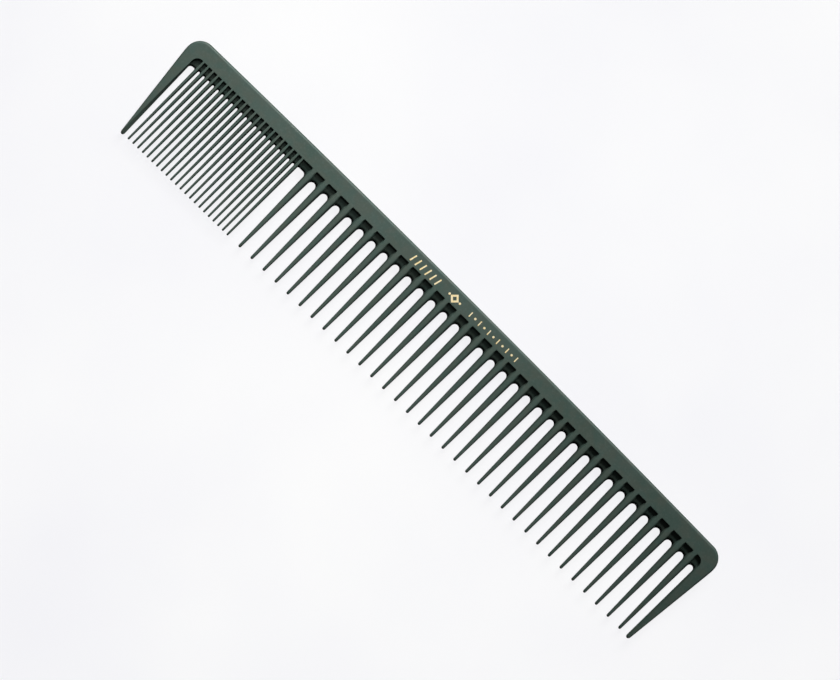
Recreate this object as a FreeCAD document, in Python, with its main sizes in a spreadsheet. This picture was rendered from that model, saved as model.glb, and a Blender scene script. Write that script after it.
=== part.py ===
import FreeCAD, Part
import math
import os
import Sketcher

# A cutting comb moulded in one piece, lying flat with its back on the ground plane. X runs along
# the comb with the fine teeth at -X, the teeth point to -Y and Z is the thickness.
# The moulding is divided where its section changes: a thick spine, a thin web below it, the teeth
# that run down from the spine through the web, and a stout guard tooth at each end.

FINE_TEETH = 22
COARSE_TEETH = 33
FOIL_BARS = 6
FOIL_DASHES = 11                     # dashes and dots in turn

DIMENSIONS = {
    # overall outline
    "comb_length": 220.5,
    "comb_depth": 37.3,          # from the back edge of the spine to the tips of the teeth
    "bow_radius": 6170,          # the whole comb is very slightly bent in its own plane
    "corner_radius": 4.8,
    "guard_extra": 0.2,          # the end guards reach this far past the teeth
    # thicknesses
    "spine_thick": 4.0,
    "web_thick": 1.4,
    "edge_radius": 0.9,
    # levels below the back edge of the spine
    "spine_depth": 5.17,
    # coarse teeth: distances below the spine, then half sizes of the sections there
    "coarse_pitch": 5.0,
    "coarse_start_x": -57.39,
    "coarse_neck": 4.3,
    "coarse_waist": 13.4,
    "coarse_top_half": 0.84,
    "coarse_neck_half": 1.22,
    "coarse_waist_half": 0.97,
    "coarse_tip_half": 0.46,
    # fine teeth
    "fine_pitch": 1.95,
    "fine_start_x": -103.36,
    "fine_neck": 3.3,
    "fine_waist": 13.4,
    "fine_top_half": 0.34,
    "fine_neck_half": 0.63,
    "fine_waist_half": 0.53,
    "fine_tip_half": 0.33,
    # shared by both kinds of tooth
    "root_face_share": 0.96,     # flat face of a tooth as a share of its width, at the spine
    "face_share": 0.595,         # and lower down
    "root_thick_half": 2.0,
    "neck_thick_half": 1.8,
    "waist_thick_half": 1.5,
    "tip_thick_half": 0.7,
    "band_share": 0.4,           # upright middle band of a tooth as a share of its thickness
    "tip_length": 0.8,           # the last stretch, where a tooth rounds off
    "tip_shrink": 0.55,
    "root_overlap": 0.4,         # blanks start this far inside the spine and are trimmed by it
    # arches between the teeth, in the edge of the web
    "coarse_arch_drop": 2.98,    # from the spine down to the crown of an arch
    "coarse_arch_radius": 1.4,
    "coarse_web_depth": 3.9,
    "fine_arch_drop": 3.03,
    "fine_arch_radius": 0.42,
    "fine_web_depth": 3.4,
    "step_arch_drop": 2.75,      # the wide gap between the fine and the coarse teeth
    "step_arch_radius": 3.3,
    "first_arch_drop": 3.3,
    "first_arch_radius": 1.2,
    "last_arch_drop": 3.5,
    "last_arch_radius": 1.25,
    # end guards, measured from the line that both of them are drawn around
    "guard_line_x": 106.4,
    "guard_outer_top": 3.84,
    "guard_outer_neck": 3.35,
    "guard_inner_top": 0.52,
    "guard_neck": 4.9,
    "guard_tip_width": 1.5,
    "guard_tip_length": 0.9,
    "guard_neck_thick_half": 1.94,
    "guard_tip_thick_half": 0.9,
    "guard_inner_shrink": 0.8,   # at the very end of a guard, on its inner side
    "guard_inner_face_share": 0.7,
    "guard_band_share": 0.5,
    "fine_guard_inner_tip": 1.2,
    "coarse_guard_inner_tip": 0.85,
    "guard_bevel": 0.9,
    "recess_corner_radius": 2.15,
    # foil marks on the front face
    "foil_thick": 0.05,
    "bar_height": 2.5,
    "bar_width": 0.45,
    "bar_pitch": 2.05,
    "bar_lean": 14,
    "lozenge_size": 2.3,
    "lozenge_hole": 1.1,
    "dash_height": 1.7,
    "dash_width": 0.35,
    "dot_radius": 0.36,
    "dash_pitch": 1.9,
    "bars_x": -18.85,
    "lozenge_x": -1.1,
    "lozenge_dot_gap": 2.15,     # from the middle of the lozenge to the dot on each side
    "dashes_x": 5.6,
    "marks_drop": 3.15,          # centre line of the marks below the back edge
}

doc = FreeCAD.newDocument("cutting_comb")
sheet = doc.addObject("Spreadsheet::Sheet", "dimensions")
for row, (alias, number) in enumerate(DIMENSIONS.items(), start=1):
    sheet.set(f"A{row}", alias)
    sheet.set(f"B{row}", str(number))
    sheet.setAlias(f"B{row}", alias)
doc.recompute()


def cell(alias):
    return f"dimensions.{alias}"


def size(alias):
    return float(sheet.get(alias))


# The bow lowers every station by x^2 / (2 R), and the outline is centred on the origin in Y.
def bow(x_text):
    return f"({x_text}) ^ 2 / (2 * {cell('bow_radius')})"


def bow_size(x):
    return x * x / (2 * size("bow_radius"))


TOP_Y = (
    f"({cell('comb_depth')} + {cell('guard_extra')} + {bow(cell('guard_line_x'))}) / 2"
)
ROOT_Y = f"({TOP_Y} - {cell('spine_depth')})"
MIDDLE_Z = f"{cell('spine_thick')} / 2"

top_y = (size("comb_depth") + size("guard_extra") + bow_size(size("guard_line_x"))) / 2
root_y = top_y - size("spine_depth")


def new_body(label):
    body = doc.addObject("PartDesign::Body", label)
    body.Label = label
    return body


def origin_plane(body, role):
    for feature in body.Origin.OriginFeatures:
        if feature.Role == role:
            return feature
    raise RuntimeError(f"{body.Label} has no {role}")


def new_sketch(body, role, name):
    sketch = body.newObject("Sketcher::SketchObject", name)
    sketch.AttachmentSupport = [(origin_plane(body, role), "")]
    sketch.MapMode = "FlatFace"
    return sketch


def bind(thing, name, text):
    thing.setExpression(name, text)


def dimension(sketch, constraint, text):
    index = sketch.addConstraint(constraint)
    bind(sketch, f"Constraints[{index}]", text)


# ---------------------------------------------------------------- spine

def make_spine():
    body = new_body("spine")
    sketch = new_sketch(body, "XY_Plane", "spine_outline")
    half = size("comb_length") / 2
    corner = size("corner_radius")
    radius = size("bow_radius")
    up = FreeCAD.Vector(0, 0, 1)

    def arc(x, y, arc_radius, start, end):
        return Part.ArcOfCircle(Part.Circle(FreeCAD.Vector(x, y, 0), up, arc_radius), start, end)

    # the corner circles touch the upright ends and the long back edge
    corner_x = half - corner
    corner_y = top_y - radius + math.sqrt((radius - corner) ** 2 - corner_x ** 2)
    top_angle = math.asin(corner_x / (radius - corner))
    root_angle = math.asin(half / radius)
    quarter = math.pi / 2
    end_y = root_y - radius + radius * math.cos(root_angle)

    left = sketch.addGeometry(Part.LineSegment(
        FreeCAD.Vector(-half, end_y, 0), FreeCAD.Vector(-half, corner_y, 0)))
    left_corner = sketch.addGeometry(arc(-corner_x, corner_y, corner, quarter + top_angle, math.pi))
    back = sketch.addGeometry(arc(0, top_y - radius, radius, quarter - top_angle, quarter + top_angle))
    right_corner = sketch.addGeometry(arc(corner_x, corner_y, corner, 0, quarter - top_angle))
    right = sketch.addGeometry(Part.LineSegment(
        FreeCAD.Vector(half, corner_y, 0), FreeCAD.Vector(half, end_y, 0)))
    underside = sketch.addGeometry(
        arc(0, root_y - radius, radius, quarter - root_angle, quarter + root_angle))

    for constraint in (
        Sketcher.Constraint("Tangent", left, 2, left_corner, 2),
        Sketcher.Constraint("Tangent", left_corner, 1, back, 2),
        Sketcher.Constraint("Tangent", back, 1, right_corner, 2),
        Sketcher.Constraint("Tangent", right_corner, 1, right, 1),
        Sketcher.Constraint("Coincident", right, 2, underside, 1),
        Sketcher.Constraint("Coincident", underside, 2, left, 1),
        Sketcher.Constraint("Vertical", left),
        Sketcher.Constraint("Vertical", right),
        Sketcher.Constraint("PointOnObject", back, 3, -2),
        Sketcher.Constraint("PointOnObject", underside, 3, -2),
        Sketcher.Constraint("Equal", left_corner, right_corner),
        Sketcher.Constraint("Equal", back, underside),
    ):
        sketch.addConstraint(constraint)
    dimension(sketch, Sketcher.Constraint("Radius", back, radius), cell("bow_radius"))
    dimension(sketch, Sketcher.Constraint("Radius", left_corner, corner), cell("corner_radius"))
    dimension(sketch, Sketcher.Constraint("DistanceY", back, 3, -1, 1, radius - top_y),
              f"{cell('bow_radius')} - {TOP_Y}")
    dimension(sketch, Sketcher.Constraint("DistanceY", underside, 3, -1, 1, radius - root_y),
              f"{cell('bow_radius')} - {ROOT_Y}")
    dimension(sketch, Sketcher.Constraint("DistanceX", left, 1, right, 2, 2 * half), cell("comb_length"))

    pad = body.newObject("PartDesign::Pad", "spine_pad")
    pad.Profile = sketch
    bind(pad, "Length", cell("spine_thick"))
    sketch.Visibility = False
    doc.recompute()

    # every outer edge is rounded; the edge above the web stays a sharp step
    rounded = []
    for number, edge in enumerate(pad.Shape.Edges, start=1):
        flat = edge.BoundBox.ZLength < 1e-6
        middle = edge.valueAt((edge.FirstParameter + edge.LastParameter) / 2)
        on_underside = abs(middle.y - (root_y - bow_size(middle.x))) < 0.01
        if flat and not on_underside:
            rounded.append(f"Edge{number}")
    fillet = body.newObject("PartDesign::Fillet", "spine_edges")
    fillet.Base = (pad, rounded)
    bind(fillet, "Radius", cell("edge_radius"))
    body.Tip = fillet
    return body


# ---------------------------------------------------------------- tooth sections

def tooth_section(body, name, depth, left, right, left_face, right_face, thick, band):
    """An eight-sided section, depth below the spine: flat faces front and back, an upright middle
    band on each flank, and drafted flanks between them. Each size is an expression."""
    sketch = new_sketch(body, "XZ_Plane", name)
    bind(sketch, "AttachmentOffset.Base.z", depth)
    corners = [(-2, 1), (-2, -1), (-1, -3), (1, -3), (2, -1), (2, 1), (1, 3), (-1, 3)]
    points = [FreeCAD.Vector(x, y, 0) for x, y in corners]
    sides = [
        sketch.addGeometry(Part.LineSegment(points[i], points[(i + 1) % 8])) for i in range(8)
    ]
    for i in range(8):
        sketch.addConstraint(Sketcher.Constraint("Coincident", sides[i], 2, sides[(i + 1) % 8], 1))
    for upper, lower in ((0, 1), (7, 2), (6, 3), (5, 4)):
        sketch.addConstraint(Sketcher.Constraint("Symmetric", sides[upper], 1, sides[lower], 1, -1))
    sketch.addConstraint(Sketcher.Constraint("Horizontal", sides[6]))
    sketch.addConstraint(Sketcher.Constraint("Horizontal", sides[0], 1, sides[5], 1))
    dimension(sketch, Sketcher.Constraint("DistanceX", sides[0], 1, -1, 1, 2), left)
    dimension(sketch, Sketcher.Constraint("DistanceX", sides[7], 1, -1, 1, 1), left_face)
    dimension(sketch, Sketcher.Constraint("DistanceX", -1, 1, sides[5], 1, 2), right)
    dimension(sketch, Sketcher.Constraint("DistanceX", -1, 1, sides[6], 1, 1), right_face)
    dimension(sketch, Sketcher.Constraint("DistanceY", -1, 1, sides[6], 1, 3), thick)
    dimension(sketch, Sketcher.Constraint("DistanceY", -1, 1, sides[5], 1, 1), band)
    sketch.Visibility = False
    return sketch


def loft_sections(body, name, sections):
    loft = body.newObject("PartDesign::AdditiveLoft", name)
    loft.Profile = sections[0]
    loft.Sections = sections[1:]
    loft.Ruled = True
    body.Tip = loft
    return loft


def make_tooth_blank(kind):
    """One tooth around its own centre line, starting at the underside of the spine."""
    body = new_body(f"{kind}_tooth_blank")
    length = f"({cell('comb_depth')} - {cell('spine_depth')})"
    stations = (
        ("root", f"-{cell('root_overlap')}", cell(kind + "_top_half"), cell("root_thick_half"),
         cell("root_face_share")),
        ("neck", cell(kind + "_neck"), cell(kind + "_neck_half"), cell("neck_thick_half"),
         cell("face_share")),
        ("waist", cell(kind + "_waist"), cell(kind + "_waist_half"), cell("waist_thick_half"),
         cell("face_share")),
        ("tip", f"{length} - {cell('tip_length')}", cell(kind + "_tip_half"), cell("tip_thick_half"),
         cell("face_share")),
        ("point", length, f"{cell(kind + '_tip_half')} * {cell('tip_shrink')}",
         f"{cell('tip_thick_half')} * {cell('tip_shrink')}", cell("face_share")),
    )
    sections = []
    for name, depth, half, thick, share in stations:
        face = f"{half} * {share}"
        sections.append(tooth_section(
            body, f"{kind}_{name}", depth, half, half, face, face, thick,
            f"{thick} * {cell('band_share')}"))
    loft_sections(body, f"{kind}_loft", sections)
    return body


# ---------------------------------------------------------------- end guards

def make_guard_blank(end, side):
    """A stout end tooth. side is -1 at the fine end and +1 at the coarse end."""
    body = new_body(f"{end}_guard_blank")
    length = f"({cell('comb_depth')} - {cell('spine_depth')} + {cell('guard_extra')})"
    tip_inner = cell(f"{end}_guard_inner_tip")
    tip_outer = f"({cell('guard_tip_width')} - {tip_inner})"
    stations = (
        ("root", f"-{cell('root_overlap')}", cell("guard_outer_top"), cell("guard_inner_top"),
         cell("root_thick_half")),
        ("neck", cell("guard_neck"), cell("guard_outer_neck"), cell("guard_inner_top"),
         cell("guard_neck_thick_half")),
        ("tip", f"{length} - {cell('guard_tip_length')}", tip_outer, tip_inner,
         cell("guard_tip_thick_half")),
        ("point", length, f"{tip_outer} * {cell('tip_shrink')}",
         f"{tip_inner} * {cell('guard_inner_shrink')}",
         f"{cell('guard_tip_thick_half')} * {cell('tip_shrink')}"),
    )
    sections = []
    for name, depth, outer, inner, thick in stations:
        outer_face = f"({outer} - {cell('guard_bevel')} * {thick} / {cell('root_thick_half')})"
        if name in ("tip", "point"):
            outer_face = f"{outer} * {cell('face_share')}"
        inner_face = f"{inner} * {cell('guard_inner_face_share')}"
        band = f"{thick} * {cell('guard_band_share')}"
        if side < 0:
            sections.append(tooth_section(
                body, f"{end}_guard_{name}", depth, outer, inner, outer_face, inner_face, thick, band))
        else:
            sections.append(tooth_section(
                body, f"{end}_guard_{name}", depth, inner, outer, inner_face, outer_face, thick, band))
    loft_sections(body, f"{end}_guard_loft", sections)
    add_recess_corner(body, end, side)
    return body


def add_recess_corner(body, end, side):
    """The full-thickness hollow corner where a guard meets the underside of the spine."""
    sketch = new_sketch(body, "XY_Plane", f"{end}_recess_corner")
    radius = size("recess_corner_radius")
    face = size("guard_inner_top")
    top = size("root_overlap")
    inward = -side

    def point(x, y):
        return FreeCAD.Vector(inward * x, y, 0)

    centre = point(face + radius, -radius)
    circle = Part.Circle(centre, FreeCAD.Vector(0, 0, 1), radius)
    if inward > 0:
        hollow = sketch.addGeometry(Part.ArcOfCircle(circle, math.pi / 2, math.pi))
        high, low = 1, 2
    else:
        hollow = sketch.addGeometry(Part.ArcOfCircle(circle, 0, math.pi / 2))
        high, low = 2, 1
    upright = sketch.addGeometry(Part.LineSegment(point(face, -radius), point(face, top)))
    level = sketch.addGeometry(Part.LineSegment(point(face, top), point(face + radius, top)))
    drop = sketch.addGeometry(Part.LineSegment(point(face + radius, top), point(face + radius, 0)))
    for constraint in (
        Sketcher.Constraint("Tangent", hollow, low, upright, 1),
        Sketcher.Constraint("Coincident", upright, 2, level, 1),
        Sketcher.Constraint("Coincident", level, 2, drop, 1),
        Sketcher.Constraint("Coincident", drop, 2, hollow, high),
        Sketcher.Constraint("Vertical", upright),
        Sketcher.Constraint("Horizontal", level),
        Sketcher.Constraint("Vertical", drop),
        Sketcher.Constraint("PointOnObject", drop, 2, -1),
    ):
        sketch.addConstraint(constraint)
    dimension(sketch, Sketcher.Constraint("Radius", hollow, radius), cell("recess_corner_radius"))
    dimension(sketch, Sketcher.Constraint("DistanceY", -1, 1, level, 1, top), cell("root_overlap"))
    if inward > 0:
        face_constraint = Sketcher.Constraint("DistanceX", -1, 1, upright, 1, face)
    else:
        face_constraint = Sketcher.Constraint("DistanceX", upright, 1, -1, 1, face)
    dimension(sketch, face_constraint, cell("guard_inner_top"))
    pad = body.newObject("PartDesign::Pad", f"{end}_recess_corner_pad")
    pad.Profile = sketch
    pad.Midplane = True
    bind(pad, "Length", cell("spine_thick"))
    sketch.Visibility = False
    body.Tip = pad


def place(thing, x, y, z):
    bind(thing, "Placement.Base.x", x)
    bind(thing, "Placement.Base.y", y)
    bind(thing, "Placement.Base.z", z)


def cut(name, base, tool):
    result = doc.addObject("Part::Cut", name)
    result.Label = name
    result.Base = base
    result.Tool = tool
    return result


def link_blank(name, blank, x):
    """A copy of a blank, moved along the comb and down with the bow."""
    copy = doc.addObject("App::Link", name)
    copy.LinkedObject = blank
    place(copy, x, f"{ROOT_Y} - {bow(x)}", MIDDLE_Z)
    return copy


def tooth_x(kind, i):
    return f"({cell(kind + '_start_x')} + {i} * {cell(kind + '_pitch')})"


def make_teeth(kind, count, blank, spine):
    teeth = []
    for i in range(count):
        copy = link_blank(f"{kind}_blank_{i + 1:02d}", blank, tooth_x(kind, i))
        teeth.append(cut(f"{kind}_tooth_{i + 1:02d}", copy, spine))
    return teeth


# ---------------------------------------------------------------- web between the teeth

def make_ribbon(name, start, end, depth_alias):
    """A strip of web along the bow, from just inside the spine down to the foot of the arches.
    start and end are distances of its two ends from the middle of the comb, as expressions with
    their present values."""
    body = new_body(name)
    sketch = new_sketch(body, "XY_Plane", f"{name}_outline")
    bind(sketch, "AttachmentOffset.Base.z", f"{MIDDLE_Z} - {cell('web_thick')} / 2")
    radius = size("bow_radius")
    start_text, start_x = start
    end_text, end_x = end
    levels = (
        (f"{ROOT_Y} + {cell('root_overlap')}", root_y + size("root_overlap")),
        (f"{ROOT_Y} - {cell(depth_alias)}", root_y - size(depth_alias)),
    )

    long_edges = []
    for level_text, level in levels:
        circle = Part.Circle(FreeCAD.Vector(0, level - radius, 0), FreeCAD.Vector(0, 0, 1), radius)
        angles = [math.acos(x / radius) for x in (end_x, start_x)]
        arc = sketch.addGeometry(Part.ArcOfCircle(circle, *angles))
        sketch.addConstraint(Sketcher.Constraint("PointOnObject", arc, 3, -2))
        dimension(sketch, Sketcher.Constraint("Radius", arc, radius), cell("bow_radius"))
        dimension(sketch, Sketcher.Constraint("DistanceY", arc, 3, -1, 1, radius - level),
                  f"{cell('bow_radius')} - ({level_text})")
        long_edges.append(arc)
    upper, lower = long_edges
    for point, x_text, x in ((2, start_text, start_x), (1, end_text, end_x)):
        end_line = sketch.addGeometry(Part.LineSegment(
            FreeCAD.Vector(x, root_y, 0), FreeCAD.Vector(x, root_y - 1, 0)))
        sketch.addConstraint(Sketcher.Constraint("Coincident", end_line, 1, upper, point))
        sketch.addConstraint(Sketcher.Constraint("Coincident", end_line, 2, lower, point))
        sketch.addConstraint(Sketcher.Constraint("Vertical", end_line))
        if x < 0:
            dimension(sketch, Sketcher.Constraint("DistanceX", end_line, 1, -1, 1, -x), f"-({x_text})")
        else:
            dimension(sketch, Sketcher.Constraint("DistanceX", -1, 1, end_line, 1, x), x_text)
    pad = body.newObject("PartDesign::Pad", f"{name}_pad")
    pad.Profile = sketch
    bind(pad, "Length", cell("web_thick"))
    sketch.Visibility = False
    return body


def make_arch_cutter(name, x, drop_alias, radius_alias):
    """A cylinder through the web whose crown is the top of one arch."""
    cutter = doc.addObject("Part::Cylinder", name)
    bind(cutter, "Radius", cell(radius_alias))
    bind(cutter, "Height", cell("spine_thick"))
    place(cutter, x, f"{ROOT_Y} - {bow(x)} - {cell(drop_alias)} - {cell(radius_alias)}", "0")
    return cutter


def make_arch_cutters():
    cutters = []
    for kind, count in (("fine", FINE_TEETH), ("coarse", COARSE_TEETH)):
        for i in range(count - 1):
            x = tooth_x(kind, i + 0.5)
            cutters.append(make_arch_cutter(
                f"{kind}_arch_{i + 1:02d}", x, f"{kind}_arch_drop", f"{kind}_arch_radius"))
    last_fine = tooth_x("fine", FINE_TEETH - 1)
    last_coarse = tooth_x("coarse", COARSE_TEETH - 1)
    guard_face = f"({cell('guard_line_x')} - {cell('guard_inner_top')})"
    step_x = f"(({last_fine} + {tooth_x('coarse', 0)}) / 2)"
    first_x = f"(({tooth_x('fine', 0)} - {cell('fine_top_half')} - {guard_face}) / 2)"
    last_x = f"(({last_coarse} + {cell('coarse_neck_half')} + {guard_face}) / 2)"
    cutters.append(make_arch_cutter("step_arch", step_x, "step_arch_drop", "step_arch_radius"))
    cutters.append(make_arch_cutter("first_arch", first_x, "first_arch_drop", "first_arch_radius"))
    cutters.append(make_arch_cutter("last_arch", last_x, "last_arch_drop", "last_arch_radius"))
    return cutters


def grouped(name, members):
    group = doc.addObject("Part::Compound", name)
    group.Label = name
    group.Links = members
    return group


def make_web(spine, uprights):
    """The panels between neighbouring uprights: two ribbons, less the arches, the uprights and
    the spine."""
    coarse_x = tooth_x("coarse", 0)
    line_x = size("guard_line_x")
    fine_ribbon = make_ribbon(
        "fine_ribbon", (f"-{cell('guard_line_x')}", -line_x), (coarse_x, size("coarse_start_x")),
        "fine_web_depth")
    coarse_ribbon = make_ribbon(
        "coarse_ribbon", (coarse_x, size("coarse_start_x")), (cell("guard_line_x"), line_x),
        "coarse_web_depth")
    ribbons = grouped("ribbons", [fine_ribbon, coarse_ribbon])
    arched = cut("arched_ribbons", ribbons, grouped("arch_cutters", make_arch_cutters()))
    panels = cut("web_panels", arched, grouped("uprights", uprights))
    return cut("tooth_web", panels, spine)


# ---------------------------------------------------------------- foil marks

def foil_dot(name, x, y):
    dot = doc.addObject("Part::Cylinder", name)
    bind(dot, "Radius", cell("dot_radius"))
    bind(dot, "Height", cell("foil_thick"))
    place(dot, x, y, cell("spine_thick"))
    return dot


def make_foil_marks():
    """Plain ornaments stamped on the front face: slanted bars, a lozenge, and dashes with dots."""
    front = cell("spine_thick")
    centre_y = f"({TOP_Y} - {cell('marks_drop')})"
    marks = []
    for i in range(FOIL_BARS):
        bar = doc.addObject("Part::Box", f"foil_bar_{i + 1}")
        bind(bar, "Length", cell("bar_width"))
        bind(bar, "Width", cell("bar_height"))
        bind(bar, "Height", cell("foil_thick"))
        bind(bar, "Placement.Rotation.Angle", f"-{cell('bar_lean')}")
        place(bar, f"{cell('bars_x')} + {i} * {cell('bar_pitch')}",
              f"{centre_y} - {cell('bar_height')} / 2", front)
        marks.append(bar)

    plates = []
    for name, edge in (("lozenge_plate", "lozenge_size"), ("lozenge_window", "lozenge_hole")):
        plate = doc.addObject("Part::Box", name)
        bind(plate, "Length", cell(edge))
        bind(plate, "Width", cell(edge))
        bind(plate, "Height", cell("foil_thick"))
        bind(plate, "Placement.Rotation.Angle", "45")
        place(plate, cell("lozenge_x"), f"{centre_y} - {cell(edge)} / sqrt(2)", front)
        plates.append(plate)
    marks.append(cut("lozenge", *plates))
    for name, sign in (("lozenge_dot_left", "-"), ("lozenge_dot_right", "+")):
        marks.append(foil_dot(name, f"{cell('lozenge_x')} {sign} {cell('lozenge_dot_gap')}", centre_y))

    for i in range(FOIL_DASHES):
        x = f"{cell('dashes_x')} + {i} * {cell('dash_pitch')}"
        if i % 2:
            marks.append(foil_dot(f"foil_dot_{i + 1}", x, centre_y))
        else:
            dash = doc.addObject("Part::Box", f"foil_dash_{i + 1}")
            bind(dash, "Length", cell("dash_width"))
            bind(dash, "Width", cell("dash_height"))
            bind(dash, "Height", cell("foil_thick"))
            place(dash, f"{x} - {cell('dash_width')} / 2",
                  f"{centre_y} - {cell('dash_height')} / 2", front)
            marks.append(dash)
    return grouped("foil_marks", marks)


# ---------------------------------------------------------------- assembly

spine = make_spine()
fine_blank = make_tooth_blank("fine")
coarse_blank = make_tooth_blank("coarse")
teeth = make_teeth("fine", FINE_TEETH, fine_blank, spine)
teeth += make_teeth("coarse", COARSE_TEETH, coarse_blank, spine)
guards = []
for end, side in (("fine", -1), ("coarse", 1)):
    blank = make_guard_blank(end, side)
    copy = link_blank(f"{end}_guard_copy", blank, f"({side} * {cell('guard_line_x')})")
    guards.append(cut(f"{end}_end_guard", copy, spine))
web = make_web(spine, teeth + guards)
foil = make_foil_marks()
doc.recompute()

for thing in doc.Objects:
    if "Invalid" in thing.State or "Error" in thing.State:
        raise RuntimeError(f"{thing.Name} failed: {thing.State}")

os.makedirs("parts", exist_ok=True)
for node in [spine, web, *guards, *teeth, foil]:
    shape = node.Shape
    if shape.isNull() or not shape.isValid() or not shape.Solids:
        raise RuntimeError(f"{node.Label} has no valid solid")
    shape.exportStep(f"parts/{node.Label}.step")
    print(f"{node.Label}: {len(shape.Solids)} solids, {shape.Volume:.2f} mm3")
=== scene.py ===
import math

import bmesh
import bpy
import numpy as np
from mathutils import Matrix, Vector


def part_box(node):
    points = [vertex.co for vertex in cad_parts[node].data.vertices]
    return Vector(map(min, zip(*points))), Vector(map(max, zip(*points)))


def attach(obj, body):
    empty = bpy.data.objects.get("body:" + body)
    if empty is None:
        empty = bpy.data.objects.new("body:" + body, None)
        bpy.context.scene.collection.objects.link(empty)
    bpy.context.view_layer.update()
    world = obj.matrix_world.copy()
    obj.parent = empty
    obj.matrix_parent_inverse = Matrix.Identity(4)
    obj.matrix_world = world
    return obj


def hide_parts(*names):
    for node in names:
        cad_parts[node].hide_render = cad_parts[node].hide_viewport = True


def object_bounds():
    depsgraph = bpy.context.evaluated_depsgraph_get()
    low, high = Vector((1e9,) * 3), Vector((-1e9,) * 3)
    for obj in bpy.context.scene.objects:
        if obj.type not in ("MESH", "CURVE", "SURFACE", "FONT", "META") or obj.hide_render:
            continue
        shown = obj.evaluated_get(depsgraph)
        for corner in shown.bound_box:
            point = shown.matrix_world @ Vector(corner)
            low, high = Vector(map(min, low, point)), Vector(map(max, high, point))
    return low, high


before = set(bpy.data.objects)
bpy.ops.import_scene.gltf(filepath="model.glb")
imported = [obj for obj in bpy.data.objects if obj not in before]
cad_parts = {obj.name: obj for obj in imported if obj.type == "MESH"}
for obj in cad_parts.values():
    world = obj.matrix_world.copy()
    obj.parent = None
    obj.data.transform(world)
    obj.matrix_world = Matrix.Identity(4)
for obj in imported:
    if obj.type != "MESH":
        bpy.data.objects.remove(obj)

cad_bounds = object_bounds()

# Shapes are worked out in millimetres on a straightened comb: x along it, s the distance below the
# underside of the spine, and z above or below the middle of the thickness. The comb's slight bow and
# its place in the frame are put back when the vertices are made.
MM = 0.001
FINE_TEETH = 22
COARSE_TEETH = 33


# ------------------------------------------------------------------ sizes read from the frame

def box_mm(node):
    low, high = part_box(node)
    return low / MM, high / MM


def middle_x(node):
    low, high = box_mm(node)
    return (low.x + high.x) / 2


spine_low, spine_high = box_mm("spine")
web_low, web_high = box_mm("tooth_web")
MIDDLE_Z = (spine_low.z + spine_high.z) / 2
FACE = (spine_high.z - spine_low.z) / 2     # the spine's face
FLOOR = (web_high.z - web_low.z) / 2        # the web's face, the floor of every pocket
HALF_LENGTH = (spine_high.x - spine_low.x) / 2

# Two teeth of one length, far apart, show how much the comb is bowed.
end_tooth_low, _ = box_mm("coarse_tooth_33")
mid_tooth_low, mid_tooth_high = box_mm("coarse_tooth_12")
end_x = middle_x("coarse_tooth_33")
mid_x = middle_x("coarse_tooth_12")
BOW_RADIUS = (end_x ** 2 - mid_x ** 2) / (2 * (mid_tooth_low.y - end_tooth_low.y))
ROOT_Y = mid_tooth_high.y + mid_x ** 2 / (2 * BOW_RADIUS)
SPINE_DEPTH = spine_high.y - ROOT_Y
TOOTH_LENGTH = mid_tooth_high.y - mid_tooth_low.y
GUARD_EXTRA = 0.2              # the end guards reach this far past the teeth


# ------------------------------------------------------------------ the moulding's surface

class Moulding:
    """The front half of the surface, as faces that each belong to one piece, with its mirror image
    behind the parting plane z = 0."""

    def __init__(self):
        self.places = []
        self.numbers = {}
        self.faces = []
        self.cuts = []

    def vertex(self, point):
        key = tuple(round(value, 4) + 0.0 for value in point)
        if key not in self.numbers:
            self.numbers[key] = len(self.places)
            self.places.append(point)
        return self.numbers[key]

    def face(self, owner, corners):
        for flip in (1, -1):
            loop = []
            for x, s, z in corners:
                number = self.vertex((x, s, z * flip))
                if number not in loop:
                    loop.append(number)
            if len(loop) > 2:
                self.faces.append((owner, loop[::flip]))

    def grid(self, owner, rows):
        for upper, lower in zip(rows, rows[1:]):
            for i in range(len(upper) - 1):
                self.face(owner, [upper[i], lower[i], lower[i + 1], upper[i + 1]])

    def cut(self, owners, corners):
        """A face inside the moulding, from front to back, where the two owners meet."""
        loop = []
        for x, s, z in [*corners, *((x, s, -z) for x, s, z in reversed(corners))]:
            number = self.vertex((x, s, z))
            if number not in loop:
                loop.append(number)
        if len(loop) > 2:
            self.cuts.append((owners, loop))

    def cut_strip(self, owners, points):
        for a, b in zip(points, points[1:]):
            if a[2] > 0 or b[2] > 0:
                self.cut(owners, [a, b])


moulding = Moulding()


def lerp(a, b, t):
    return a + (b - a) * t


def smooth_step(low, high, value):
    t = min(max((value - low) / (high - low), 0.0), 1.0)
    return t * t * (3 - 2 * t)


def smooth_min(a, b, softness):
    h = min(max(0.5 + 0.5 * (b - a) / softness, 0.0), 1.0)
    return lerp(b, a, h) - softness * h * (1 - h)


# ------------------------------------------------------------------ teeth, guards and arches

# Levels shared by every upright, so that neighbouring patches meet vertex to vertex. The uprights
# are the teeth and the end guards.
SEAM = -0.1                            # the spine's face ends here, at the pockets' rounded edge
ROOT_ROWS = [SEAM, 0.04, 0.15, 0.35, 0.7, 1.2, 1.7, 2.2, 2.55, 2.8, 3.0, 3.2, 3.4, 3.65, 3.95, 4.2, 4.5]
ROOT_END = ROOT_ROWS[-1]
LOWER_ROWS = 16                        # from there down to where the tip rounds off
TIP_ANGLES = (20, 40, 58, 72, 83, 90)
TURN_SHARES = (0, 1 / 3, 2 / 3, 1)     # samples round the front edge of a flank
WALL_SHARES = (0.45, 0.9, 1)           # then down the flank to its foot
FRONT_SHARES = (0.0, 0.1, 0.5, 0.9, 1.0)    # columns across the front of a tooth
MOST_OF_FLANK = 0.8                    # share of a flank's width that its rounding may take
WALL_DRAFT = 0.02                      # how far a pocket's walls lean, face to floor
SOFT_CORNER = 0.08                     # blends two outlines where they cross
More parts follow.
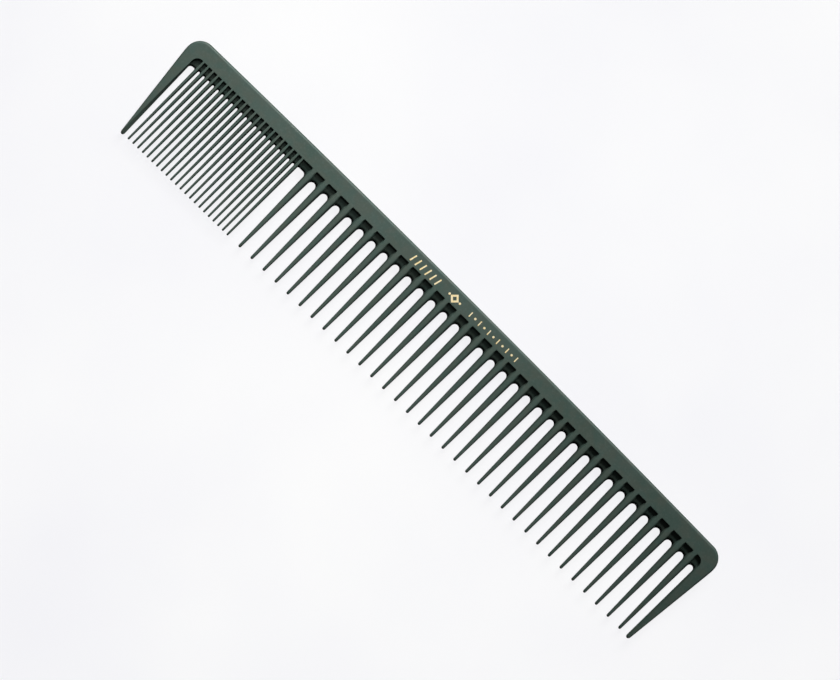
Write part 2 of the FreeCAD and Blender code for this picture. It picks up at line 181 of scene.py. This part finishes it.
THINNING_POWER = 1.25                  # uprights thin slowly at first, then faster

# the web
POCKET_COLUMNS = 6
ARCH_STEPS = 40                        # samples round each side of an arch
FAR_ABOVE = 9.0                        # stands for no arch at this level
ARCH_SLOPE = 0.1                       # how a flank's foot draws in, for each mm above the spring
WEB_FALL = 0.15                        # share of its thickness that the web loses by the arch's crown
RIM_POWER = 0.65                       # how steeply it falls away to the arch's edge
RIM_ANGLES = (0, 18, 36, 54, 72, 90)   # samples across the rim, close together at its edge
WEB_SHARES = (0.3, 0.65)               # then across the rest of the web
LONGEST_RIM = 0.8                      # share of the way from the arch to the web's outer edge


def drafted(start, end, radius):
    """Samples of a flank: rounded over from the flat front at start, then straight to its foot at
    end. Points are (across, z), with end further across than start."""
    radius = min(radius, MOST_OF_FLANK * (end[0] - start[0]))
    across, down = end[0] - start[0], end[1] - start[1] + radius
    turn = math.atan2(across, down) - math.acos(radius / math.hypot(across, down))
    points = []
    for share in TURN_SHARES:
        angle = turn * share
        drop = radius * (1 - math.cos(angle))
        points.append((start[0] + radius * math.sin(angle), start[1] - drop))
    top = points[-1]
    for share in WALL_SHARES:
        points.append((lerp(top[0], end[0], share), lerp(top[1], end[1], share)))
    return points


def half_thickness(s, length, tip):
    """Half the thickness of an upright at level s, from the spine's at its root to tip at its end."""
    if s <= 0:
        return FACE
    return FACE - (FACE - tip) * (s / length) ** THINNING_POWER


def tip_scale(s, length, rounding):
    """How much a section shrinks where a tip rounds off."""
    past = (s - (length - rounding)) / rounding
    return math.sqrt(max(1 - past * past, 0.0)) if past > 0 else 1.0


class Tooth:
    """One tooth and the rib that it becomes over the web. Widths are half widths.

    root      at the spine
    rib       of the rib's flat front, over the web
    neck      where the arches spring from the tooth
    tip       at its end
    fall      how its outline falls from neck to tip, 1 being straight
    flare     how far the rib's feet spread over the web
    spring    level where the arches spring
    turn      rounding of its front edges in the corner of a pocket
    low_turn  rounding of its front edges lower down
    rounding  length that the tip rounds off over"""

    FRONT_SHARE = 0.25           # flat front, as a share of the tooth's width below the web
    FLARE_LENGTH = 0.7
    TIP_HALF_THICKNESS = 0.7
    RIB_LEVELS = (0, 1.4)        # where the root turns into the rib
    FRONT_LEVELS = (2.6, 5.5)    # where the rib's front turns into the tooth's
    TURN_LEVELS = (0.2, 2.2)     # where the front edges grow rounder

    def __init__(self, node, fine):
        self.node = node
        self.x = middle_x(node)
        self.length = TOOTH_LENGTH
        if fine:
            self.root, self.rib, self.neck, self.tip = 0.32, 0.25, 0.63, 0.33
            self.fall, self.flare, self.spring = 1.0, 0.1, 3.53
            self.turn, self.low_turn, self.rounding = 0.05, 0.2, 0.3
        else:
            self.root, self.rib, self.neck, self.tip = 0.82, 0.42, 1.22, 0.46
            self.fall, self.flare, self.spring = 1.03, 0.47, 4.38
            self.turn, self.low_turn, self.rounding = 0.1, 0.55, 0.45

    def width(self, s):
        """Half the outline's width, below the arch."""
        t = min(max((s - self.spring) / (self.length - self.spring), 0.0), 1.0)
        return self.tip + (self.neck - self.tip) * (1 - t) ** self.fall

    def edge(self, s):
        """Half the width of the flat front."""
        rib = lerp(self.root - self.turn, self.rib, smooth_step(*self.RIB_LEVELS, s))
        return lerp(rib, self.FRONT_SHARE * self.width(s), smooth_step(*self.FRONT_LEVELS, s))

    def thickness(self, s):
        return half_thickness(s, self.length, self.TIP_HALF_THICKNESS)

    def foot_x(self, s, arch_x, spring):
        """Where the flank meets the web, measured from the middle of the tooth. arch_x is where the
        outline of the arch is at this level."""
        flared = self.root + WALL_DRAFT + self.flare * (1 - math.exp(-s / self.FLARE_LENGTH))
        return smooth_min(flared, arch_x - ARCH_SLOPE * (spring - s), SOFT_CORNER)

    def flank(self, s, side, foot):
        """Samples from the flat front down to the foot (x from the middle, z)."""
        radius = lerp(self.turn, self.low_turn, smooth_step(*self.TURN_LEVELS, s))
        section = drafted((self.edge(s), self.thickness(s)), foot, radius)
        return [(self.x + side * x, s, z) for x, z in section]

    def root_flank(self, side):
        """The flank's top row, in the corner of the pocket."""
        wall = drafted((self.root - self.turn, FACE), (self.root + WALL_DRAFT, FLOOR), self.turn)
        levels = [SEAM - SEAM * math.sin(math.pi / 2 * share) for share in TURN_SHARES]
        levels += [WALL_DRAFT * share for share in WALL_SHARES]
        return [(self.x + side * x, level, z) for (x, z), level in zip(wall, levels)]


class Arch:
    """The outline of one gap's top, from the left upright over the crown to the right one."""

    def __init__(self, left_x, right_x, left, right, crown):
        # left and right are (radius across, radius up, level where the upright part ends)
        self.left, self.right, self.crown = left, right, crown
        points = [(left_x, ROOT_END)]
        for i in range(ARCH_STEPS + 1):
            angle = math.pi / 2 * i / ARCH_STEPS
            x = left_x + left[0] * (1 - math.cos(angle))
            points.append((x, left[2] - left[1] * math.sin(angle)))
        for i in range(ARCH_STEPS + 1):
            angle = math.pi / 2 * (1 - i / ARCH_STEPS)
            x = right_x - right[0] * (1 - math.cos(angle))
            points.append((x, right[2] - right[1] * math.sin(angle)))
        points.append((right_x, ROOT_END))
        self.outline = np.array(points)
        self.centre = ((left_x + right_x) / 2, ROOT_END)

    def distance(self, x, s):
        """How far (x, s) is from the outline."""
        a = self.outline[:-1]
        b = self.outline[1:]
        run = b - a
        span = np.maximum((run ** 2).sum(1), 1e-12)
        t = np.clip((((x, s) - a) * run).sum(1) / span, 0, 1)
        gap = a + run * t[:, None] - (x, s)
        return math.sqrt((gap ** 2).sum(1).min())

    def under(self, x, s):
        """The point of the outline in the direction of (x, s) from the middle of the gap's foot."""
        dx, ds = x - self.centre[0], self.centre[1] - s
        angles = np.arctan2(self.centre[1] - self.outline[:, 1], self.outline[:, 0] - self.centre[0])
        angle = math.atan2(ds, dx)
        order = np.argsort(angles)
        return (float(np.interp(angle, angles[order], self.outline[order, 0])),
                float(np.interp(angle, angles[order], self.outline[order, 1])))

    def side_x(self, s, side):
        """The outline's distance in from its own upright at level s, or a long way above the crown."""
        across, up, spring = self.left if side > 0 else self.right
        rise = (spring - s) / up
        if rise >= 1:
            return FAR_ABOVE
        if rise <= 0:
            return 0.0
        return across * (1 - math.sqrt(1 - rise * rise))

    def height(self, x, s, rim):
        """Half the web's thickness: thinner away from the spine, then falling away at the arch."""
        share = min(self.distance(x, s) / rim, 1.0)
        level = FLOOR * (1 - WEB_FALL * smooth_step(0, self.crown, s))
        return level * share ** RIM_POWER


RIM_INSET = 0.7            # the outer side leans in this much from the parting line to the front
RIM_RADIUS = 0.45


def rim_profile(thick):
    """The drafted outer side, from the flat front out to the parting line: (distance in, z)."""
    share = thick / FACE
    inset = RIM_INSET * share
    return [(inset - x, z) for x, z in drafted((0, thick), (inset, 0), RIM_RADIUS * share)]


class Guard:
    """The stout tooth at an end of the comb. side is -1 at the fine end and +1 at the coarse end.
    Its inner side is measured inward from the wall line, its outer side in from the comb's end.
    slope is how its outer side runs in, and drift how its inner side does, for each mm down."""

    RECESS_RADIUS = 2.15         # rounded corner of the recess beside it
    WALL_X = 106.2
    NECK = 0.33                  # its inner side at the web, inward from the wall line
    NECK_LEVEL = 4
    SHOULDER = 1                 # its outer side starts straight, then slopes, over this length
    TIP_HALF_THICKNESS = 0.95
    INNER_TURN = 0.1
    FLARE = 0.08
    FRONT_EASE = 0.12            # its front edge moves out this much lower down
    EASE_LEVELS = (3, 10)
    rounding = 0.8

    def __init__(self, node, side, slope, drift):
        self.node, self.side, self.slope, self.drift = node, side, slope, drift
        self.length = TOOTH_LENGTH + GUARD_EXTRA

    def inward(self, distance):
        return self.side * (self.WALL_X - distance)

    def thickness(self, s):
        return half_thickness(s, self.length, self.TIP_HALF_THICKNESS)

    def outer_x(self, s):
        """Distance of the outer outline from the middle of the comb."""
        run = math.sqrt(max(s, 0) ** 2 + self.SHOULDER ** 2) - self.SHOULDER
        return HALF_LENGTH - self.slope * run

    def width(self, s):
        """How far inward the inner outline is, below the arch."""
        return self.NECK + self.drift * max(s - self.NECK_LEVEL, 0)

    def wall(self, s):
        """The recess's wall at level s: its distance inward and the direction it faces."""
        radius = self.RECESS_RADIUS
        level = max(s, 0.0)
        if level >= radius:
            return 0.0, (1.0, 0.0)
        along = radius - math.sqrt(radius ** 2 - (radius - level) ** 2)
        return along, ((radius - along) / radius, (radius - level) / radius)

    def web_foot(self, s, arch, spring, rim):
        """Where the inner flank meets the web: (distance, z)."""
        along, normal = self.wall(s)
        level = max(s, 0.0)
        out = WALL_DRAFT + self.FLARE * level
        distance = along
        if level > 0:
            limit = self.NECK + arch.side_x(s, -self.side) - ARCH_SLOPE * (spring - s)
            distance = smooth_min(along + out * normal[0], limit, SOFT_CORNER)
        z = arch.height(self.inward(distance), level + out * normal[1], rim)
        return distance, z

    def inner_flank(self, s, foot):
        """Samples round the recess corner and down the inner flank; foot is (distance, z)."""
        along, normal = self.wall(s)
        level = max(s, 0.0)
        ease = self.FRONT_EASE * smooth_step(*self.EASE_LEVELS, s)
        section = drafted((SEAM - ease, self.thickness(s)), (foot[0] - along, foot[1]),
                          self.INNER_TURN)
        return [(self.inward(along + offset * normal[0]), level + offset * normal[1], z)
                for offset, z in section]

    def rim(self, s):
        """Samples of the outer side, from the flat front out."""
        profile = rim_profile(self.thickness(s))
        return [(self.side * (self.outer_x(s) - inset), s, z) for inset, z in profile]


# ------------------------------------------------------------------ teeth, ribs and the web between

FACE_SUPPORT = 0.17        # a row on the flat front beside its rim keeps the front's shading flat
CORNER_RADIUS = 4.8
INNER_SUPPORT = 0.96       # the same beside a guard's inner edge, as a share of its front


def shrink(points, s, length, rounding):
    """Rounds a section off towards the tip of a tooth."""
    scale = tip_scale(s, length, rounding)
    xs = [point[0] for point in points]
    middle = (min(xs) + max(xs)) / 2
    return [(middle + (x - middle) * scale, level, z * scale) for x, level, z in points]


def lower_rows(length, rounding):
    """Levels of an upright's rows below the web."""
    start, end = ROOT_END, length - rounding
    rows = [lerp(start, end, i / LOWER_ROWS) for i in range(LOWER_ROWS + 1)]
    return rows + [length - rounding * (1 - math.sin(math.radians(a))) for a in TIP_ANGLES]


def front(first, last, shares=FRONT_SHARES):
    """Points across the flat front of an upright, between the edges of its two flanks."""
    return [tuple(lerp(a, b, share) for a, b in zip(first, last)) for share in shares]


def make_lower_tooth(tooth):
    rows = []
    for s in lower_rows(tooth.length, tooth.rounding):
        foot = (tooth.width(s), 0.0)
        left = tooth.flank(s, -1, foot)
        right = tooth.flank(s, 1, foot)
        section = left[::-1] + front(left[0], right[0])[1:-1] + right
        rows.append(shrink(section, s, tooth.length, tooth.rounding))
    moulding.grid(tooth.node, rows)


def make_guard(guard, inner_rows):
    """inner_rows are the inner flank's rows in the root, which the first or last gap has made.
    Returns the points of its top row that lie on its front."""
    edge_in = rim_profile(FACE)[0][0]
    outer_edge_x = HALF_LENGTH - edge_in
    inner_edge_x = guard.WALL_X - guard.RECESS_RADIUS
    span = outer_edge_x - inner_edge_x
    corner_x = HALF_LENGTH - CORNER_RADIUS
    shares = (0.0, FACE_SUPPORT / span, (outer_edge_x - corner_x) / span, INNER_SUPPORT, 1.0)
    rows = []
    for s, inner in zip(ROOT_ROWS, inner_rows):
        outer = guard.rim(s)
        rows.append(outer[::-1] + front(outer[0], inner[0], shares)[1:-1] + inner)
    top_row = rows[0]
    moulding.grid(guard.node, rows)
    moulding.cut((guard.node, "spine"), top_row)
    rows = []
    for s in lower_rows(guard.length, guard.rounding):
        outer = guard.rim(s)
        inner = guard.inner_flank(s, (guard.width(s), 0.0))
        section = outer[::-1] + front(outer[0], inner[0], shares)[1:-1] + inner
        rows.append(shrink(section, s, guard.length, guard.rounding))
    moulding.grid(guard.node, rows)
    first = len(rim_profile(FACE)) - 1
    return top_row[first:first + len(shares)]


def gap_side(upright, side, arch, spring, rim):
    """The flank rows of one side of a gap, from the top of the pocket down past the arch. side is
    the side of the upright that the gap is on."""
    rows = []
    for s in ROOT_ROWS:
        below = (upright.width(s), 0.0)
        if isinstance(upright, Guard):
            foot = below if s >= spring else upright.web_foot(s, arch, spring, rim)
            rows.append(upright.inner_flank(s, foot))
        elif s == SEAM:
            rows.append(upright.root_flank(side))
        else:
            foot = below
            if s < spring:
                x = upright.foot_x(s, upright.neck + arch.side_x(s, side), spring)
                foot = (x, arch.height(upright.x + side * x, s, rim))
            rows.append(upright.flank(s, side, foot))
    return rows


def make_gap(left, right, left_arch, right_arch, rim):
    """One pocket: the wall under the spine, the web's face and its rounded arch. left_arch and
    right_arch are (radius across, radius up, level where the arch springs), and rim is how far the
    web falls away over at the arch. Returns the flank rows of both sides and the wall's top row."""
    crown = left_arch[2] - left_arch[1]
    left_x = left.x + left.neck if isinstance(left, Tooth) else left.inward(left.NECK)
    right_x = right.x - right.neck if isinstance(right, Tooth) else right.inward(right.NECK)
    arch = Arch(left_x, right_x, left_arch, right_arch, crown)
    left_rows = gap_side(left, 1, arch, left_arch[2], rim)
    right_rows = gap_side(right, -1, arch, right_arch[2], rim)

    wall = []
    for a, b in zip(left_rows[0], right_rows[0]):
        wall.append([tuple(lerp(p, q, m / POCKET_COLUMNS) for p, q in zip(a, b))
                     for m in range(POCKET_COLUMNS + 1)])
    moulding.grid("spine", wall)

    # round the web from its lower left corner, then rays from the arch's edge out to each point
    outer = [(row[-1], s < left_arch[2]) for s, row in zip(ROOT_ROWS, left_rows)][::-1]
    outer += [(point, True) for point in wall[-1][1:-1]]
    outer += [(row[-1], s < right_arch[2]) for s, row in zip(ROOT_ROWS, right_rows)]
    rays = []
    for (x, s, z), on_web in outer:
        if not on_web:
            rays.append([(x, s, z)] * (len(RIM_ANGLES) + len(WEB_SHARES) + 1))
            continue
        arch_x, arch_s = arch.under(x, s)
        length = math.hypot(arch_x - x, arch_s - s)
        reach = min(rim / length, LONGEST_RIM)
        shares = [reach * (1 - math.cos(math.radians(a))) for a in RIM_ANGLES]
        shares += [lerp(shares[-1], 1, share) for share in WEB_SHARES]
        ray = []
        for share in shares:
            px, ps = lerp(arch_x, x, share), lerp(arch_s, s, share)
            ray.append((px, ps, arch.height(px, ps, rim) if share > 0 else 0.0))
        ray.append((x, s, z))
        rays.append(ray)
    moulding.grid("tooth_web", rays)
    moulding.cut_strip(("spine", "tooth_web"), wall[-1])
    for upright, side_rows in ((left, left_rows), (right, right_rows)):
        moulding.cut_strip((upright.node, "tooth_web"), [row[-1] for row in side_rows])
    return left_rows, right_rows, wall[0]


def make_rib(tooth, left_rows, right_rows):
    """The tooth's root, between the flanks of the gaps beside it. Returns its top front points."""
    rows = []
    for left, right in zip(left_rows, right_rows):
        rows.append(left[::-1] + front(left[0], right[0])[1:-1] + right)
    moulding.grid(tooth.node, rows)
    moulding.cut((tooth.node, "spine"), rows[0])
    return front(left_rows[0][0], right_rows[0][0])


# ------------------------------------------------------------------ spine

CORNER_STEPS = 12
SHELF_DROP = 0.2           # a row on the spine's face, this far above its lower edge


def make_spine(seam):
    """seam is the row of points along the underside's front edge, from the fine end."""
    top = -SPINE_DEPTH
    profile = rim_profile(FACE)
    support = (profile[0][0] + FACE_SUPPORT, FACE)
    profile = [support] + profile
    corner_x = HALF_LENGTH - CORNER_RADIUS
    corner_s = top + CORNER_RADIUS
    shelf = SEAM - SHELF_DROP
    ends = {}
    for side in (-1, 1):
        part = [[(side * (HALF_LENGTH - d), s, z) for d, z in profile] for s in (SEAM, shelf)]
        for i in range(CORNER_STEPS + 1):
            angle = math.pi / 2 * i / CORNER_STEPS
            part.append([(side * (corner_x + (CORNER_RADIUS - d) * math.cos(angle)),
                          corner_s - (CORNER_RADIUS - d) * math.sin(angle), z) for d, z in profile])
        ends[side] = part
    inner = [point for point in seam if abs(point[0]) < corner_x - 1e-3]
    columns = [(-corner_x, SEAM, FACE), *inner, (corner_x, SEAM, FACE)]
    path = ends[-1] + [[(x, top + d, z) for d, z in profile] for x, _, _ in inner] + ends[1][::-1]
    moulding.grid("spine", [list(row) for row in zip(*path)])
    xs = [point[0] for point in columns]
    moulding.grid("spine", [[(x, s, FACE) for x in xs] for s in (top + support[0], shelf, SEAM)])
    for side, part in ends.items():
        edge = [row[0] for row in part[1:]]
        moulding.face("spine", (edge + [(side * corner_x, shelf, FACE)])[::-side])
        outer = part[0][0][0]
        strip = [(outer, s, FACE) for s in (shelf, SEAM)]
        ring = [(side * corner_x, s, FACE) for s in (shelf, SEAM)]
        moulding.face("spine", [strip[0], strip[1], ring[1], ring[0]][::-side])


# ------------------------------------------------------------------ the whole moulding

fine = [Tooth(f"fine_tooth_{i + 1:02d}", True) for i in range(FINE_TEETH)]
coarse = [Tooth(f"coarse_tooth_{i + 1:02d}", False) for i in range(COARSE_TEETH)]
uprights = [Guard("fine_end_guard", -1, slope=0.12, drift=0.0237), *fine, *coarse,
            Guard("coarse_end_guard", 1, slope=0.107, drift=0.0104)]

# The two sides of each kind of gap's arch, then its rim. Both sides have their crown at one level.
FIRST_GAP = (1.2, 0.95, 4.25), (0.35, 0.5, 3.8), 0.7
FINE_GAP = (0.34, 0.5, 3.53), (0.34, 0.5, 3.53), 0.7
STEP_GAP = (0.3, 0.5, 3.3), (1.2, 1.2, 4.0), 0.8
COARSE_GAP = (1.27, 1.4, 4.38), (1.27, 1.4, 4.38), 0.95
LAST_GAP = (1.0, 1.0, 4.5), (1.0, 1.0, 4.5), 0.85
gap_kinds = [FIRST_GAP, *[FINE_GAP] * (FINE_TEETH - 1), STEP_GAP,
             *[COARSE_GAP] * (COARSE_TEETH - 1), LAST_GAP]

left_sides = {}
right_sides = {}
walls = []
for i, kind in enumerate(gap_kinds):
    left_rows, right_rows, wall_top = make_gap(uprights[i], uprights[i + 1], *kind)
    right_sides[i] = left_rows
    left_sides[i + 1] = right_rows
    walls.append(wall_top)

seam = []
for i, upright in enumerate(uprights):
    if isinstance(upright, Tooth):
        top_front = make_rib(upright, left_sides[i], right_sides[i])
        make_lower_tooth(upright)
    else:
        top_front = make_guard(upright, right_sides[i] if upright.side < 0 else left_sides[i])
        if upright.side > 0:
            top_front = top_front[::-1]
    seam += top_front
    if i < len(walls):
        seam += walls[i][1:-1]
make_spine(seam)


# ------------------------------------------------------------------ meshes

SHARP_ANGLE = math.radians(40)


def straight_to_frame(x, s, z):
    """Bows a point of the straightened comb, and puts it in the frame, in metres."""
    y = ROOT_Y - s - x * x / (2 * BOW_RADIUS)
    return (x * MM, y * MM, (z + MIDDLE_Z) * MM)


def whole_surface(owners):
    """The moulding as one closed mesh, with edges sharp only where it has real corners."""
    mesh = bpy.data.meshes.new("whole_moulding")
    places = [straight_to_frame(*place) for place in moulding.places]
    mesh.from_pydata(places, [], [face for _, face in moulding.faces])
    piece = mesh.attributes.new("piece", "INT", "FACE")
    piece.data.foreach_set("value", [owners.index(owner) for owner, _ in moulding.faces])
    shape = bmesh.new()
    shape.from_mesh(mesh)
    bmesh.ops.recalc_face_normals(shape, faces=shape.faces)
    shape.to_mesh(mesh)
    shape.free()
    mesh.shade_smooth()
    mesh.set_sharp_from_angle(angle=SHARP_ANGLE)
    return mesh


def make_pieces():
    """One closed mesh per piece. They share the whole surface's normals, so that the moulding
    shows no seam where two pieces meet."""
    owners = sorted({owner for owner, _ in moulding.faces})
    whole = whole_surface(owners)
    normals = [tuple(corner.vector) for corner in whole.corner_normals]
    owned = {owner: [] for owner in owners}
    for polygon, piece in zip(whole.polygons, whole.attributes["piece"].data):
        owned[owners[piece.value]].append(polygon)
    pieces = {}
    for owner in owners:
        numbers = {}
        faces, face_normals, edges = [], [], set()
        for polygon in owned[owner]:
            face = [numbers.setdefault(v, len(numbers)) for v in polygon.vertices]
            faces.append(face)
            face_normals += [normals[i] for i in polygon.loop_indices]
            edges.update(zip(face, face[1:] + face[:1]))
        for cut in moulding.cuts:
            if owner not in cut[0]:
                continue
            face = [numbers[v] for v in cut[1] if v in numbers]
            if any(edge in edges for edge in zip(face, face[1:] + face[:1])):
                face.reverse()
            faces.append(face)
        places = [whole.vertices[number].co for number in numbers]
        mesh = bpy.data.meshes.new(owner + "_skin")
        mesh.from_pydata(places, [], faces)
        mesh.shade_smooth()
        for polygon in mesh.polygons[len(owned[owner]):]:
            face_normals += [tuple(polygon.normal)] * polygon.loop_total
        mesh.normals_split_custom_set(face_normals)
        pieces[owner] = bpy.data.objects.new(owner + "_skin", mesh)
        bpy.context.scene.collection.objects.link(pieces[owner])
    bpy.data.meshes.remove(whole)
    return pieces


pieces = make_pieces()
for name, piece in pieces.items():
    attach(piece, "root")
    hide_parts(name)


# ------------------------------------------------------------------ materials

class Nodes:
    """Short ways to add shader nodes to a material."""

    def __init__(self, name):
        self.material = bpy.data.materials.new(name)
        self.material.use_nodes = True
        self.tree = self.material.node_tree
        self.shader = self.tree.nodes["Principled BSDF"]
        self.place = self.add("ShaderNodeTexCoord").outputs["Object"]

    def add(self, kind, **values):
        node = self.tree.nodes.new(kind)
        for key, value in values.items():
            setattr(node, key, value)
        return node

    def link(self, source, target):
        self.tree.links.new(source, target)

    def noise(self, scale, detail):
        noise = self.add("ShaderNodeTexNoise")
        noise.inputs["Scale"].default_value = scale
        noise.inputs["Detail"].default_value = detail
        self.link(self.place, noise.inputs["Vector"])
        return noise.outputs["Fac"]

    def spread(self, value, low, high, to_low, to_high):
        """Spreads values between low and high over to_low to to_high."""
        node = self.add("ShaderNodeMapRange")
        limits = {"From Min": low, "From Max": high, "To Min": to_low, "To Max": to_high}
        for name, number in limits.items():
            node.inputs[name].default_value = number
        self.link(value, node.inputs["Value"])
        return node.outputs["Result"]

    def height_from_middle(self):
        """Distance in front of or behind the parting plane."""
        parts = self.add("ShaderNodeSeparateXYZ")
        self.link(self.place, parts.inputs["Vector"])
        offset = self.add("ShaderNodeMath", operation="SUBTRACT")
        offset.inputs[1].default_value = MIDDLE_Z * MM
        self.link(parts.outputs["Z"], offset.inputs[0])
        height = self.add("ShaderNodeMath", operation="ABSOLUTE")
        self.link(offset.outputs["Value"], height.inputs[0])
        return height.outputs["Value"]

    def mix(self, factor, a, b):
        node = self.add("ShaderNodeMix", data_type="RGBA")
        for socket, value in ((node.inputs[0], factor), (node.inputs[6], a), (node.inputs[7], b)):
            if isinstance(value, bpy.types.NodeSocket):
                self.link(value, socket)
            else:
                socket.default_value = value
        return node.outputs[2]

    def bump(self, heights, strength, distance):
        normal = None
        for height in heights:
            node = self.add("ShaderNodeBump")
            node.inputs["Strength"].default_value = strength
            node.inputs["Distance"].default_value = distance
            self.link(height, node.inputs["Height"])
            if normal is not None:
                self.link(normal, node.inputs["Normal"])
            normal = node.outputs["Normal"]
        self.link(normal, self.shader.inputs["Normal"])


def linear(red, green, blue):
    """A colour given as it is seen, 0 to 255, as the shader's linear values."""
    values = []
    for value in (red, green, blue):
        value /= 255
        values.append(value / 12.92 if value <= 0.04045 else ((value + 0.055) / 1.055) ** 2.4)
    return (*values, 1.0)


# Painted shade on the web's rim: its colour darkens where the web thins towards an arch.
RIM_SHADE_HEIGHTS = (0.5, 0.92)     # shares of the web's thickness that its rim's shade fades over


def plastic_material(name, shade, gloss, rim_shade=None):
    """shade darkens the colour towards near black, from 0 to 1, as painted shade, and gloss is the
    strength of the reflection. rim_shade is the painted shade where the web thins away at an arch,
    darker towards the arch's edge."""
    nodes = Nodes(name)
    broad = nodes.spread(nodes.noise(45, 3), 0.35, 0.65, 0, 1)
    cloud = nodes.spread(nodes.noise(300, 4), 0.38, 0.62, 0, 0.4)
    fleck = nodes.spread(nodes.noise(1300, 3), 0.5, 0.75, 0, 0.3)
    colour = nodes.mix(broad, linear(62, 82, 74), linear(68, 86, 79))
    colour = nodes.mix(cloud, colour, linear(80, 84, 74))
    colour = nodes.mix(fleck, colour, linear(90, 104, 98))
    # painted shade: shade darkens the colour all over, and rim_shade darkens it further where the web
    # is thin
    if rim_shade is not None:
        low, high = (FLOOR * MM * share for share in RIM_SHADE_HEIGHTS)
        shade = nodes.spread(nodes.height_from_middle(), low, high, rim_shade, shade)
    colour = nodes.mix(shade, colour, linear(4, 7, 6))
    nodes.link(colour, nodes.shader.inputs["Base Color"])
    rough = nodes.spread(nodes.noise(380, 5), 0.3, 0.7, 0.46, 0.6)
    nodes.link(rough, nodes.shader.inputs["Roughness"])
    nodes.shader.inputs["IOR"].default_value = 1.5
    nodes.shader.inputs["Specular IOR Level"].default_value = gloss
    nodes.bump([nodes.noise(140, 3), nodes.noise(2600, 2)], 0.25, 0.00004)
    return nodes.material


def foil_material():
    """Pale gold, worn in specks."""
    nodes = Nodes("gold_foil")
    wear = nodes.spread(nodes.noise(1400, 4), 0.35, 0.65, 0, 1)
    colour = nodes.mix(wear, linear(250, 224, 160), linear(255, 242, 204))
    nodes.link(colour, nodes.shader.inputs["Base Color"])
    rough = nodes.spread(nodes.noise(2200, 3), 0.3, 0.7, 0.3, 0.55)
    nodes.link(rough, nodes.shader.inputs["Roughness"])
    nodes.shader.inputs["Metallic"].default_value = 0.1
    nodes.bump([nodes.noise(3000, 2)], 0.3, 0.00002)
    return nodes.material


FLOOR_GLOW = 23        # the floor is a light table, so the gaps between the teeth stay clear


def floor_material():
    """Dark, so that it takes no shadow, and made pale by its own glow."""
    nodes = Nodes("pale_floor")
    cloud = nodes.spread(nodes.noise(9, 3), 0.3, 0.7, 0, 1)
    colour = nodes.mix(cloud, linear(54, 54, 55), linear(56, 56, 56))
    nodes.link(colour, nodes.shader.inputs["Base Color"])
    nodes.link(colour, nodes.shader.inputs["Emission Color"])
    nodes.shader.inputs["Emission Strength"].default_value = FLOOR_GLOW
    rough = nodes.spread(nodes.noise(70, 3), 0.3, 0.7, 0.75, 0.9)
    nodes.link(rough, nodes.shader.inputs["Roughness"])
    nodes.shader.inputs["Specular IOR Level"].default_value = 0.1
    return nodes.material


plastic = plastic_material("dark_green_plastic", shade=0.0, gloss=0.35)
# The web's plastic has painted shade: its colour is darkened as if its pockets lay in shadow, darkest
# at the arches' rims, with a weaker reflection.
painted_shade_web_plastic = plastic_material("painted_shade_web_plastic", shade=0.4, gloss=0.15, rim_shade=1.0)
for name, piece in pieces.items():
    piece.data.materials.append(painted_shade_web_plastic if name == "tooth_web" else plastic)
for material_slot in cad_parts["foil_marks"].material_slots:
    material_slot.material = foil_material()


# ------------------------------------------------------------------ floor, light and camera

FLOOR_SIZE = 12                      # metres, past the edges of the views
WORLD_STRENGTH = 0.05
CAMERA_DISTANCE = 1.2
SEEN_WIDTH = 0.24966                 # across the picture, at the comb's middle plane
CAMERA_TURN = math.radians(44.926)
CAMERA_SHIFT = (0.00024, -0.00013)   # along the picture's width and height
SENSOR_WIDTH = 36


def make_floor():
    low = cad_bounds[0][2]
    bpy.ops.mesh.primitive_plane_add(size=FLOOR_SIZE, location=(0, 0, low))
    floor = bpy.context.object
    floor.name = "floor"
    floor.data.materials.append(floor_material())
    # the table's glow clears the gaps without lighting the comb from below
    glow_lights = bpy.data.collections.new("lit_by_floor")
    glow_lights.objects.link(floor)
    floor.light_linking.receiver_collection = glow_lights


def soft_light(name, place, target, size, power, spread):
    data = bpy.data.lights.new(name, "AREA")
    data.shape = "RECTANGLE"
    data.size, data.size_y = size
    data.energy = power
    data.spread = math.radians(spread)
    light = bpy.data.objects.new(name, data)
    light.location = place
    light.rotation_euler = (Vector(target) - Vector(place)).to_track_quat("-Z", "Y").to_euler()
    bpy.context.scene.collection.objects.link(light)


def make_camera():
    """Looks straight down, turned so that the comb runs from the upper left to the lower right."""
    data = bpy.data.cameras.new("camera")
    data.sensor_width = SENSOR_WIDTH
    data.lens = SENSOR_WIDTH * CAMERA_DISTANCE / SEEN_WIDTH
    camera = bpy.data.objects.new("camera", data)
    right = Vector((math.cos(CAMERA_TURN), math.sin(CAMERA_TURN), 0))
    up = Vector((-math.sin(CAMERA_TURN), math.cos(CAMERA_TURN), 0))
    height = Vector((0, 0, CAMERA_DISTANCE + MIDDLE_Z * MM))
    camera.location = right * CAMERA_SHIFT[0] + up * CAMERA_SHIFT[1] + height
    camera.rotation_euler = (0, 0, CAMERA_TURN)
    bpy.context.scene.collection.objects.link(camera)
    bpy.context.scene.camera = camera


make_floor()
soft_light("key", place=(-0.13, 0.46, 0.31), target=(-0.04, 0, 0),
           size=(0.42, 0.22), power=0.52, spread=42)
soft_light("fill", place=(-0.18, 0.22, 0.44), target=(-0.07, 0, 0),
           size=(0.12, 0.12), power=0.02, spread=30)
world = bpy.data.worlds.new("world")
world.use_nodes = True
background = world.node_tree.nodes["Background"]
background.inputs["Color"].default_value = (1, 1, 1, 1)
background.inputs["Strength"].default_value = WORLD_STRENGTH
bpy.context.scene.world = world
bpy.context.scene.view_settings.view_transform = "Standard"
make_camera()
